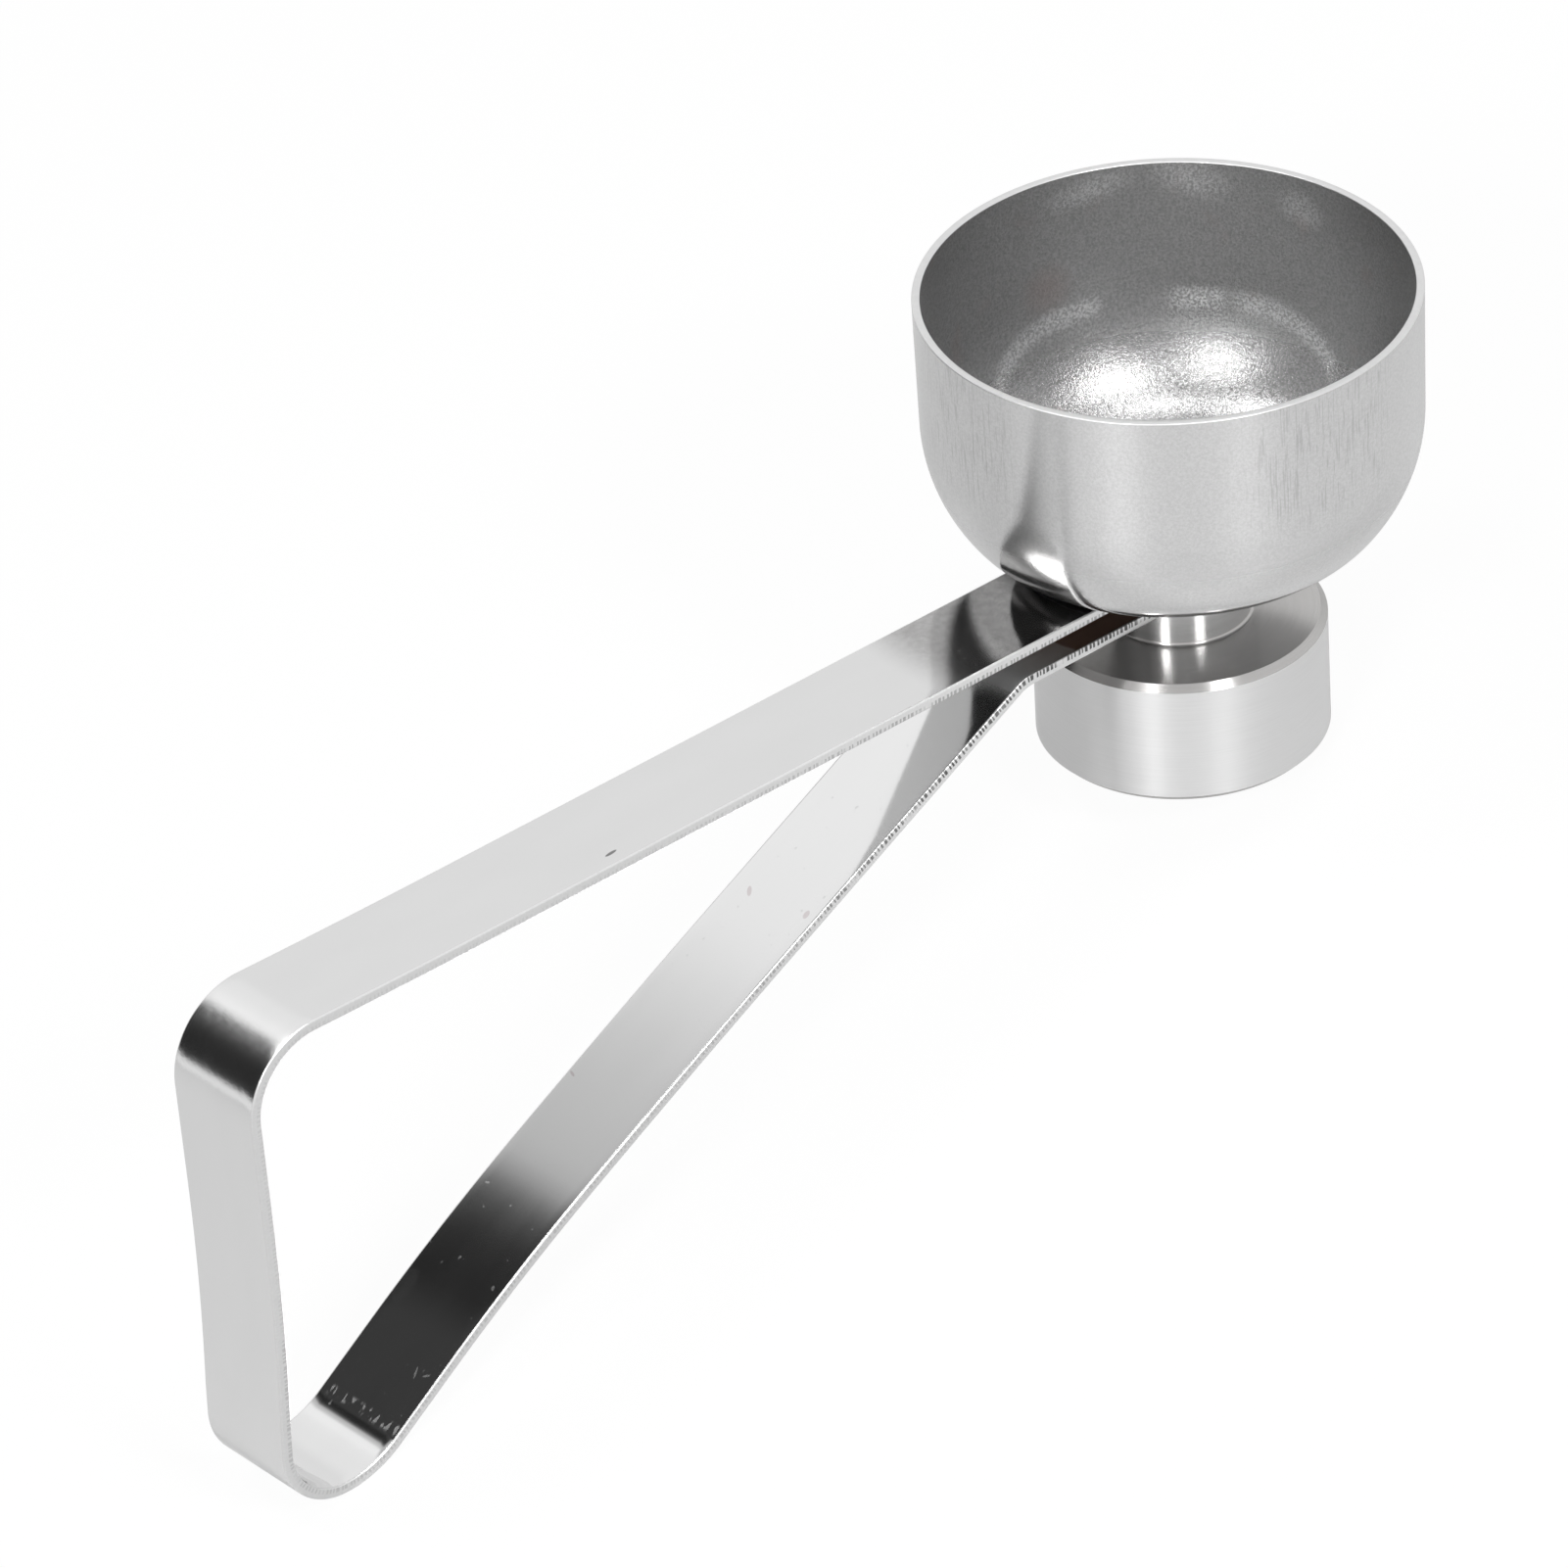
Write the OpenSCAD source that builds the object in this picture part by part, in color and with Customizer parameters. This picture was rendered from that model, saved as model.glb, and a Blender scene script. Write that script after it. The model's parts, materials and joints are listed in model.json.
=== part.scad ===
// Egg topper: a drawn cup and a turned hammer, carried face to face by one bent spring strip.
// The strip runs from under the cup to the far end of the handle, down its short side, and back
// under the cup to the hammer's neck. Pulled open and let go, it snaps the hammer at the cup.
// Tool frame: Z along the cup's axis, X towards the far end of the handle, Z = 0 at the hammer's
// lower face. lay_on_table() then turns the tool into its stored pose, lying on a table.

/* [Cup] */
// Outside diameter across the rim
cup_d = 36; // [30:0.5:44]
// Height from the flat bottom to the rim
cup_h = 19.55; // [17:0.05:26]
// Sheet thickness
cup_wall = 0.6; // [0.4:0.05:1]
// Draft of the straight wall below the rim, in degrees
cup_draft = 0.95; // [0:0.05:2]
// Outside radius of the large shoulder curve
shoulder_r = 12.3; // [8:0.1:13]
// How far the shoulder curve turns in, in degrees
shoulder_turn = 35.8; // [25:0.1:45]
// Outside radius of the tighter curve into the flat bottom
corner_r = 6.4; // [4:0.1:8]

/* [Hammer] */
// Diameter of the turned weight
weight_d = 21.1; // [17:0.1:26]
// Height of the weight
weight_h = 9.7; // [7:0.1:13]
// Chamfer on both edges of the weight
weight_chamfer = 0.5; // [0.3:0.05:1]
// Diameter of the neck
neck_d = 10.1; // [9:0.1:13]
// Length of the neck, from the weight to the strip
neck_h = 3.57; // [2:0.01:6]
// Fillet where the neck meets the weight
neck_fillet = 0.3; // [0.2:0.05:0.8]
// Diameter of the tenon that passes through the strip
tenon_d = 4; // [3:0.1:5]

/* [Spring strip] */
// Width of the strip
strip_w = 8.3; // [7:0.1:9]
// Thickness of the strip
strip_t = 0.85; // [0.6:0.05:1.1]
// From the cup's axis to the outer face of the short side
reach = 89; // [75:0.5:110]
// From the upper arm's top face to the lowest point of the handle
handle_h = 39.07; // [36:0.01:44]
// Gap between the two arms under the cup
arm_gap = 1.65; // [1.5:0.05:3]
// Outside radius of the bend at the upper arm's far end
upper_bend_r = 5; // [3:0.1:7]
// Outside radius of the tight half of the lower bend
lower_bend_r = 5.4; // [4:0.1:7]
// Outside radius of the relaxed half of the lower bend
relaxed_bend_r = 7.4; // [6:0.1:9]
// Slope of the lower arm where it leaves the lower bend, in degrees
foot_slope = 35.2; // [33:0.1:37]
// Straight length between the lower bend and the bowed stretch
foot_len = 5; // [2:0.5:8]
// Radius of the bowed stretch of the lower arm
bow_r = 160; // [120:5:200]
// Slope of the straight part of the lower arm, in degrees
arm_slope = 27.9; // [26:0.1:30]
// Inside radius of the kink that levels the lower arm under the cup
kink_r = 2.6; // [1:0.1:4]

/* [Rivet] */
// Shank diameter of the cup's rivet
rivet_d = 3; // [2.4:0.1:3.6]
// Diameter of the domed head inside the cup
rivet_head_d = 6.4; // [5:0.1:8]
// Height of the domed head
rivet_head_h = 1.1; // [0.8:0.05:1.6]
// Diameter of the flat button under the upper arm
button_d = 4.8; // [4.4:0.1:6]
// Height of the flat button, which the hammer's tenon strikes
button_h = 0.4; // [0.2:0.05:0.6]

/* [Fits] */
// Radial clearance of the rivet shank and the tenon in their holes
pin_fit = 0.02; // [0.01:0.01:0.04]
// Slit between the two stretches of the strip where the handle flexes
flex_gap = 0.1; // [0.08:0.01:0.15]

/* [Hidden] */
$fn = 120;
// Largest step along a bend or a curve of a profile, in degrees
arc_step = 4;
// Cuts pass this far beyond the face they open
through = 1;
steel = [0.78, 0.78, 0.79];
satin_steel = [0.7, 0.7, 0.71];
turned_steel = [0.62, 0.61, 0.6];

// Levels along the cup's axis
lower_arm_z = weight_h + neck_h;
upper_arm_z = lower_arm_z + strip_t + arm_gap;
cup_z = upper_arm_z + strip_t;
rim_z = cup_z + cup_h;

// The bends, as radii of the strip's middle surface
half_t = strip_t / 2;
upper_bend = upper_bend_r - half_t;
lower_bend = lower_bend_r - half_t;
relaxed_bend = relaxed_bend_r - half_t;
kink = kink_r + half_t;

// The flexing point: where the short side meets the tight half of the lower bend
flex_x = reach - half_t;
flex_z = cup_z - handle_h + lower_bend_r;
upper_arm_len = reach - upper_bend_r;
short_side_len = cup_z - upper_bend_r - flex_z - flex_gap;

// The straight part of the lower arm is as long as it takes to reach its level under the cup
foot_z = flex_z - lower_bend + relaxed_bend * (1 - cos(foot_slope)) + foot_len * sin(foot_slope);
bow_rise = bow_r * (cos(arm_slope) - cos(foot_slope));
kink_rise = kink * (1 - cos(arm_slope));
arm_len = (lower_arm_z + half_t - kink_rise - foot_z - bow_rise) / sin(arm_slope);
foot_x = flex_x - lower_bend - relaxed_bend * sin(foot_slope) - foot_len * cos(foot_slope);
bow_x = foot_x - bow_r * (sin(foot_slope) - sin(arm_slope));
under_cup_len = bow_x - arm_len * cos(arm_slope) - kink * sin(arm_slope);

// Each stretch of the strip is [length, 0] or [radius of its middle surface, degrees turned left]
UPPER_PATH = [[upper_arm_len, 0], [upper_bend, -90], [short_side_len, 0]];
LOWER_PATH = [
    [lower_bend, -90],
    [relaxed_bend, -foot_slope],
    [foot_len, 0],
    [bow_r, foot_slope - arm_slope],
    [arm_len, 0],
    [kink, arm_slope],
    [under_cup_len, 0],
];

// Cup profile: draft wall, shoulder curve and corner curve run into each other without an edge
cup_r = cup_d / 2;
shoulder_end = cup_draft + shoulder_turn;
shoulder_z = corner_r + (shoulder_r - corner_r) * sin(shoulder_end);
wall_z = shoulder_z - shoulder_r * sin(cup_draft);
wall_r = cup_r - (cup_h - wall_z) * tan(cup_draft);
shoulder_x = wall_r - shoulder_r * cos(cup_draft);
corner_x = shoulder_x + (shoulder_r - corner_r) * cos(shoulder_end);

// Holes on the cup's axis, and what fills them
rivet_hole_r = rivet_d / 2 + pin_fit;
tenon_r = tenon_d / 2;
tenon_head_r = tenon_r + half_t;

// Lying on a table, the tool rests on the weight's lower edge and on the relaxed bend
edge_r = weight_d / 2 - weight_chamfer;
rest_run = flex_x - lower_bend + edge_r;
rest_drop = lower_bend - relaxed_bend - flex_z;
tilt = asin(relaxed_bend_r / norm([rest_run, rest_drop])) + atan2(rest_drop, rest_run);

// The lying tool's extents, which put the origin at the middle of its box, on the table
function lying_x(x, z) = x * cos(tilt) - z * sin(tilt);
function lying_z(x, z) = x * sin(tilt) + z * cos(tilt);
low_x = min(lying_x(-cup_r, rim_z), lying_x(-edge_r, 0));
high_x = max(
    lying_x(reach - lower_bend_r, flex_z) + lower_bend_r,
    lying_x(upper_arm_len, cup_z - upper_bend_r) + upper_bend_r
);
table_z = lying_z(-edge_r, 0);

// Points along an arc, from one angle to just short of another, which the next piece starts at
function arc(x, y, r, from, to) =
    let (steps = ceil(abs(to - from) / arc_step))
    [for (k = [0:steps - 1])
        let (a = from + (to - from) * k / steps)
        [x + r * cos(a), y + r * sin(a)]];

function reversed(points) = [for (k = [len(points) - 1:-1:0]) points[k]];

// A state is [x, y, heading]; side() lies square to its heading, to the left by a distance
function side(state, d) = [state[0] - d * sin(state[2]), state[1] + d * cos(state[2])];

// The state after turning by some degrees, to the left if positive, round a bend of a radius
function turned(state, radius, turn) =
    let (
        r = turn < 0 ? -radius : radius,
        centre = side(state, r),
        heading = state[2] + turn
    )
    [centre[0] + r * sin(heading), centre[1] - r * cos(heading), heading];

// The state at the end of one stretch, and the states that draw it, without its end
function after(state, stretch) =
    stretch[1] == 0
        ? [state[0] + stretch[0] * cos(state[2]), state[1] + stretch[0] * sin(state[2]), state[2]]
        : turned(state, stretch[0], stretch[1]);
function along(state, stretch) =
    let (steps = max(1, ceil(abs(stretch[1]) / arc_step)))
    [for (k = [0:steps - 1]) turned(state, stretch[0], stretch[1] * k / steps)];

// The states along a whole path
function trace(path, state, i = 0) =
    i == len(path)
        ? [state]
        : concat(along(state, path[i]), trace(path, after(state, path[i]), i + 1));

// Turns the tool into its stored pose: lying on a table, handle towards -X
module lay_on_table() {
    rotate([0, 0, 180])
        translate([-(low_x + high_x) / 2, 0, -table_z])
            rotate([0, -tilt, 0])
                children();
}

// Flat strip bent along a path, which its middle surface follows in the XZ plane
module bent_strip(path, start) {
    states = trace(path, start);
    left_face = [for (s = states) side(s, half_t)];
    right_face = [for (s = states) side(s, -half_t)];
    rotate([90, 0, 0])
        linear_extrude(strip_w, center = true)
            polygon(concat(left_face, reversed(right_face)));
}

// The rounded end of an arm, centred on the cup's axis
module arm_end(z) {
    translate([0, 0, z])
        cylinder(d = strip_w, h = strip_t);
}

// From the flexing point round the lower bend and back under the cup to the hammer's neck
module handle_lower_arm() {
    hole_r = tenon_r + pin_fit;
    seat_z = lower_arm_z + half_t;
    top_z = lower_arm_z + strip_t;
    color(steel)
        difference() {
            union() {
                bent_strip(LOWER_PATH, [flex_x, flex_z, -90]);
                arm_end(lower_arm_z);
            }
            translate([0, 0, lower_arm_z - through])
                cylinder(r = hole_r, h = strip_t + 2 * through);
            translate([0, 0, seat_z])
                cylinder(r1 = hole_r, r2 = hole_r + half_t + through, h = half_t + through);
        }
}

// From under the cup to the far end and down the short side to the flexing point
module handle_upper_arm() {
    color(steel)
        difference() {
            union() {
                bent_strip(UPPER_PATH, [0, upper_arm_z + half_t, 0]);
                arm_end(upper_arm_z);
            }
            translate([0, 0, upper_arm_z - through])
                cylinder(r = rivet_hole_r, h = strip_t + 2 * through);
        }
}

// One face of the cup's sheet, from the rim to the rivet hole, drawn in by inset
function cup_face(inset) = concat(
    [[cup_r - inset / cos(cup_draft), cup_h]],
    arc(shoulder_x, shoulder_z, shoulder_r - inset, -cup_draft, -shoulder_end),
    arc(corner_x, corner_r, corner_r - inset, -shoulder_end, -90),
    [[corner_x, inset], [rivet_hole_r, inset]]
);

// Drawn sheet cup with its mouth up and a rivet hole in its flat bottom
module cup() {
    color(satin_steel)
        translate([0, 0, cup_z])
            rotate_extrude()
                polygon(concat(cup_face(0), reversed(cup_face(cup_wall))));
}

// Solid rivet: a low dome inside the cup, a shank, and a flat button under the arm
module cup_rivet() {
    dome_r = (pow(rivet_head_d / 2, 2) + pow(rivet_head_h, 2)) / (2 * rivet_head_h);
    head_z = cup_z + cup_wall;
    color(steel) {
        rotate_extrude()
            intersection() {
                translate([0, head_z + rivet_head_h - dome_r])
                    circle(r = dome_r);
                translate([0, head_z])
                    square(rivet_head_d);
            }
        translate([0, 0, upper_arm_z])
            cylinder(d = rivet_d, h = head_z - upper_arm_z);
        translate([0, 0, upper_arm_z - button_h])
            cylinder(d = button_d, h = button_h);
    }
}

// Turned in one piece: weight, neck, and the tenon that is peened over in the lower arm
module hammer() {
    r = weight_d / 2;
    c = weight_chamfer;
    fillet_x = neck_d / 2 + neck_fillet;
    color(turned_steel)
        rotate_extrude() {
            polygon([
                [0, 0],
                [r - c, 0],
                [r, c],
                [r, weight_h - c],
                [r - c, weight_h],
                [0, weight_h],
            ]);
            translate([0, weight_h])
                square([neck_d / 2, neck_h]);
            difference() {
                translate([0, weight_h])
                    square([fillet_x, neck_fillet]);
                translate([fillet_x, weight_h + neck_fillet])
                    circle(r = neck_fillet);
            }
            polygon([
                [0, lower_arm_z],
                [tenon_r, lower_arm_z],
                [tenon_r, lower_arm_z + half_t],
                [tenon_head_r, lower_arm_z + strip_t],
                [0, lower_arm_z + strip_t],
            ]);
        }
}

lay_on_table() handle_lower_arm();
lay_on_table() handle_upper_arm();
lay_on_table() cup();
lay_on_table() cup_rivet();
lay_on_table() hammer();
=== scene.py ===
"""Egg topper: a drawn steel cup over a turned hammer, both carried by one bent spring strip.

Lengths are in millimetres in the tool frame: Z along the cup's axis, X towards the far end of
the handle, Z = 0 at the hammer's lower face. in_row() turns them into metres on the table.
"""
import json
import math

import bpy
from mathutils import Matrix, Vector


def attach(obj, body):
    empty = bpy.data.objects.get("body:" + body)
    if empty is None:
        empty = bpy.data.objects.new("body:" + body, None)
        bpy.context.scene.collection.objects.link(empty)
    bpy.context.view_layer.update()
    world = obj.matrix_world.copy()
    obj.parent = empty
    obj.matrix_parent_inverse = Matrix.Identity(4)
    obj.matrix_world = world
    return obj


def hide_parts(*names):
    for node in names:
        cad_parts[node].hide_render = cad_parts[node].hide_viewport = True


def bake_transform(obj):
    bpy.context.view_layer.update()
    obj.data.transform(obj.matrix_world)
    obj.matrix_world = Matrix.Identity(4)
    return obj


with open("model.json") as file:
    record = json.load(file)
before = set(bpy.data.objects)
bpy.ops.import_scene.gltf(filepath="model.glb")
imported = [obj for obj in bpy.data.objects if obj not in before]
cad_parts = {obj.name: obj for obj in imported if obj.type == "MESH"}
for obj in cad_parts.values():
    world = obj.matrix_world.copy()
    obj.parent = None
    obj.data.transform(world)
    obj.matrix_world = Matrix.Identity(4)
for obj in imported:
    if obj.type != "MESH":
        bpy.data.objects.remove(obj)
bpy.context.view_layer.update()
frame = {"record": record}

MM = 0.001

# Cup. Draft and turn are in degrees, and SHOULDER_R and CORNER_R are radii of the outside.
CUP_R = 18.0
CUP_H = 19.55
CUP_WALL = 0.6
CUP_DRAFT = 0.95
SHOULDER_R = 12.3
SHOULDER_TURN = 35.8
CORNER_R = 6.4
RIM_ROUND = 0.07
# A faint swell round the inside: its height over the cup's underside, half width and depth
RIDGE_Z, RIDGE_HALF, RIDGE_H = 8.5, 0.9, 0.04

# Hammer
WEIGHT_R = 10.55
WEIGHT_H = 9.7
WEIGHT_CHAMFER = 0.5
NECK_R = 5.05
NECK_H = 3.57
NECK_FILLET = 0.3
TENON_R = 2.0

# Spring strip. REACH runs from the cup's axis to the outside of the short side, and HANDLE_H from
# the cup's underside down to the bottom of the loop. Lift, lean, tuck and slopes are in degrees.
# Radii are those of the strip's middle surface, but LOWER_BEND_R and RELAXED_BEND_R are taken
# outside the bend, and KINK_R inside it.
STRIP_W = 8.3
STRIP_T = 0.85
REACH = 89.0
HANDLE_H = 39.07
ARM_GAP = 1.65
ARM_LIFT_R = 893.0
ARM_LIFT = 1.22
UPPER_BEND_R = 5.5
SIDE_LEAN = 2.65
SIDE_LEN = 8.58
SIDE_BOW_R = 195.6
SIDE_TUCK = 1.97
SIDE_END_R = 89.2
LOWER_BEND_R = 5.4
RELAXED_BEND_R = 8.5
FOOT_SLOPE = 35.35
FOOT_LEN = 6.15
BOW_R = 144.0
BOW_SLOPE = 29.25
LONG_BOW_R = 700.0
ARM_SLOPE = 27.43
KINK_R = 2.6
EDGE_ROUND = 0.16

# Rivet: its shank, its dome in the cup and its button under the upper arm
RIVET_R = 1.5
RIVET_HEAD_R = 3.2
RIVET_HEAD_H = 1.1
BUTTON_R = 2.4
BUTTON_H = 0.4
BUTTON_CHAMFER = 0.12
PIN_FIT = 0.02

# Levels along the cup's axis, and the flex point at the foot of the short side
HALF_T = STRIP_T / 2
LOWER_ARM_Z = WEIGHT_H + NECK_H
UPPER_ARM_Z = LOWER_ARM_Z + STRIP_T + ARM_GAP
CUP_Z = UPPER_ARM_Z + STRIP_T
FLEX_X = REACH - HALF_T
FLEX_Z = CUP_Z - HANDLE_H + LOWER_BEND_R


# ---------------------------------------------------------------- where the tool lies
def record_mount(name):
    """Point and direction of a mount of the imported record, in the row frame."""
    for mount in frame["record"]["mounts"]:
        if mount["name"] == name:
            return Vector(mount["pos_m"]), Vector(mount["axis"]).normalized()
    raise KeyError(name)


HAMMER_FACE, _ = record_mount("hammer_face")
_, AXIS_UP = record_mount("cup_rim")
ACROSS = Vector((0, -1, 0))
ALONG = ACROSS.cross(AXIS_UP)
TOOL = Matrix((ALONG, ACROSS, AXIS_UP)).transposed()
LYING = Matrix.Translation(HAMMER_FACE) @ TOOL.to_4x4()


def in_row(point):
    """A point of the tool frame in metres on the table."""
    return LYING @ (Vector(point) * MM)


# ---------------------------------------------------------------- mesh making
SHARP_ANGLE = 40


def make_piece(name, points, faces, kinds, finishes, turned=False):
    """A piece from points of the tool frame.

    The attribute "place", which its finishes read, holds each point's own x, y and z, or the
    fourth value that the point brings along. A turned piece keeps its axis as its own Z, which the
    spread of its gloss follows.
    """
    mesh = bpy.data.meshes.new(name)
    lying = Matrix() if turned else LYING
    mesh.from_pydata([lying @ (Vector(p[:3]) * MM) for p in points], [], faces)
    place = mesh.attributes.new("place", "FLOAT_VECTOR", "POINT")
    place.data.foreach_set("vector", [c for p in points for c in (p[3] if len(p) > 3 else p)])
    for finish in finishes:
        mesh.materials.append(finish)
    mesh.polygons.foreach_set("material_index", kinds)
    mesh.polygons.foreach_set("use_smooth", [True] * len(faces))
    mesh.set_sharp_from_angle(angle=math.radians(SHARP_ANGLE))
    piece = bpy.data.objects.new(name, mesh)
    if turned:
        piece.matrix_world = LYING
    bpy.context.scene.collection.objects.link(piece)
    level = piece.modifiers.new("level_normals", "WEIGHTED_NORMAL")
    level.keep_sharp = True
    level.weight = 100
    return piece


def arc(x, y, r, start, end, step=3.0):
    """Points of a circle from one angle in degrees to just short of another."""
    steps = max(1, math.ceil(abs(end - start) / step))
    angles = [math.radians(start + (end - start) * k / steps) for k in range(steps)]
    return [(x + r * math.cos(a), y + r * math.sin(a)) for a in angles]


def turned_piece(name, profile, finishes, around=256):
    """A closed outline of (radius, height, kind) turned about the cup's axis.

    kind is the finish of the stretch that starts at that point. At radius 0 it closes on the axis.
    """
    points, rings, faces, kinds = [], [], [], []
    for r, z, _ in profile:
        if r == 0:
            rings.append([len(points)] * around)
            points.append((0.0, 0.0, z))
        else:
            rings.append(list(range(len(points), len(points) + around)))
            points += [
                (r * math.cos(2 * math.pi * k / around), r * math.sin(2 * math.pi * k / around), z)
                for k in range(around)
            ]
    for i, (_, _, kind) in enumerate(profile):
        low, high = rings[i], rings[(i + 1) % len(rings)]
        both_on_axis = low[0] == low[1] and high[0] == high[1]
        if both_on_axis:
            continue
        for k in range(around):
            j = (k + 1) % around
            face = []
            for v in (low[k], low[j], high[j], high[k]):
                if v not in face:
                    face.append(v)
            faces.append(face)
            kinds.append(kind)
    return make_piece(name, points, faces, kinds, finishes, turned=True)


def follow(path, x, z, step=2.0, stretch=1.5):
    """Stations (x, z, heading, run) of a path of (length, 0) or (radius, degrees turned left).

    They stand no further apart than step degrees in a bend and stretch millimetres anywhere.
    """
    heading, run = 0.0, 0.0
    stations = [(x, z, heading, run)]
    for size, turn in path:
        if turn == 0:
            steps = max(1, math.ceil(size / stretch))
            h = math.radians(heading)
            for k in range(1, steps + 1):
                d = size * k / steps
                stations.append((x + d * math.cos(h), z + d * math.sin(h), heading, run + d))
            run += size
        else:
            radius = math.copysign(size, turn)
            h = math.radians(heading)
            cx, cz = x - radius * math.sin(h), z + radius * math.cos(h)
            length = size * math.radians(abs(turn))
            steps = max(1, math.ceil(abs(turn) / step), math.ceil(length / stretch))
            for k in range(1, steps + 1):
                a = math.radians(heading + turn * k / steps)
                d = length * k / steps
                stations.append(
                    (cx + radius * math.sin(a), cz - radius * math.cos(a), math.degrees(a), run + d)
                )
            heading += turn
            run += length
        x, z = stations[-1][0], stations[-1][1]
    return stations


FLAT, EDGE, HOLE = 0, 1, 2  # places in the strip's list of finishes


def strip_piece(name, path, z, hole_top, hole_low, finishes, run_of, inward):
    """One arm of the strip: a pad round its hole on the cup's axis, then the strip along a path.

    hole_top and hole_low are the hole's radius at the upper and lower face. run_of turns a length
    from the pad into the length along the whole strip, and inward is the side, 1 or -1, that faces
    into the handle, which the finishes read.
    """
    half_w = STRIP_W / 2
    edge_steps = 4
    layers = []  # (inset from the outline, height over the middle surface)
    for k in range(edge_steps + 1):
        a = math.radians(90 * k / edge_steps)
        layers.append((EDGE_ROUND * (1 - math.sin(a)), HALF_T - EDGE_ROUND * (1 - math.cos(a))))
    layers += [(inset, -height) for inset, height in reversed(layers)]
    last = len(layers) - 1

    points, faces, kinds = [], [], []

    def add(station, forward, across, height):
        x0, z0, heading, run = station
        h = math.radians(heading)
        points.append(
            (
                x0 + forward * math.cos(h) - height * math.sin(h),
                across,
                z0 + forward * math.sin(h) + height * math.cos(h),
                (run_of(run + forward), across, height * inward),
            )
        )
        return len(points) - 1

    def skin(a, b, c, d, kind):
        faces.append([a, b, c, d])
        kinds.append(kind)

    # The pad: spokes from the hole to the outline, round behind the axis and square before it
    spokes = 64
    eighth = spokes // 8
    start = (0.0, z, 0.0, 0.0)
    hole, rim = [], []
    for k in range(spokes):
        a = 2 * math.pi * k / spokes
        c, s = math.cos(a), math.sin(a)
        hole.append(
            (
                add(start, hole_top * c, hole_top * s, HALF_T),
                add(start, hole_low * c, hole_low * s, 0.0),
                add(start, hole_low * c, hole_low * s, -HALF_T),
            )
        )
        front = k <= eighth or k >= spokes - eighth
        inside_front = k < eighth or k > spokes - eighth
        ring = {}
        for i, (inset, height) in enumerate(layers):
            if inside_front and 0 < i < last:
                continue
            w = half_w - inset
            if front:
                forward, across = half_w, w * math.tan(a)
            elif c > 0:
                forward, across = half_w / abs(math.tan(a)), math.copysign(w, s)
            else:
                forward, across = w * c, w * s
            ring[i] = add(start, forward, across, height)
        rim.append(ring)
    for k in range(spokes):
        j = (k + 1) % spokes
        skin(hole[k][0], rim[k][0], rim[j][0], hole[j][0], FLAT)
        skin(hole[j][2], rim[j][last], rim[k][last], hole[k][2], FLAT)
        for i in range(2):
            skin(hole[j][i], hole[j][i + 1], hole[k][i + 1], hole[k][i], HOLE)
        if eighth <= k < spokes - eighth:
            for i in range(last):
                skin(rim[k][i], rim[k][i + 1], rim[j][i + 1], rim[j][i], EDGE)

    # The strip: columns across it carry on from the pad's front spokes
    order = list(range(-eighth, eighth + 1))
    before = [rim[k % spokes] for k in order]
    first_gap = 0.2
    stations = [s for s in follow(path, 0.0, z) if s[3] > half_w + first_gap]
    for station in stations:
        now = []
        for k in order:
            a = 2 * math.pi * k / spokes
            ring = {}
            for i, (inset, height) in enumerate(layers):
                if abs(k) < eighth and 0 < i < last:
                    continue
                ring[i] = add(station, 0.0, (half_w - inset) * math.tan(a), height)
            now.append(ring)
        for n in range(len(order) - 1):
            skin(before[n][0], now[n][0], now[n + 1][0], before[n + 1][0], FLAT)
            skin(before[n + 1][last], now[n + 1][last], now[n][last], before[n][last], FLAT)
        for i in range(last):
            skin(before[0][i], before[0][i + 1], now[0][i + 1], now[0][i], EDGE)
            skin(now[-1][i], now[-1][i + 1], before[-1][i + 1], before[-1][i], EDGE)
        before = now
    # The cut end
    outline = [r[0] for r in before] + [before[-1][i] for i in range(1, last)]
    outline += [r[last] for r in reversed(before)] + [before[0][i] for i in range(last - 1, 0, -1)]
    faces.append(outline)
    kinds.append(EDGE)
    return make_piece(name, points, faces, kinds, finishes)


# ---------------------------------------------------------------- finishes
class Socket:
    """A value inside a material or the world. Arithmetic on it adds Math nodes."""

    def __init__(self, finish, out):
        self.finish, self.out = finish, out

    def math(self, operation, *others):
        return self.finish.node(
            "ShaderNodeMath", {"operation": operation}, dict(enumerate((self, *others)))
        )

    def __add__(self, other):
        return self.math("ADD", other)

    def __sub__(self, other):
        return self.math("SUBTRACT", other)

    def __rsub__(self, other):
        return self.finish.node("ShaderNodeMath", {"operation": "SUBTRACT"}, {0: other, 1: self})

    def __mul__(self, other):
        return self.math("MULTIPLY", other)

    def __truediv__(self, other):
        return self.math("DIVIDE", other)

    def __pow__(self, other):
        return self.math("POWER", other)

    __radd__, __rmul__ = __add__, __mul__

    def smooth(self, low, high):
        """0 below low, 1 above high, eased between."""
        return self.finish.node(
            "ShaderNodeMapRange",
            {"interpolation_type": "SMOOTHSTEP"},
            {"Value": self, "From Min": low, "From Max": high},
        )

    def between(self, rise, fall):
        """Eased up from 0 to 1 over the range rise, and back down to 0 over the range fall."""
        return self.smooth(*rise) * (1 - self.smooth(*fall))


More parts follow.
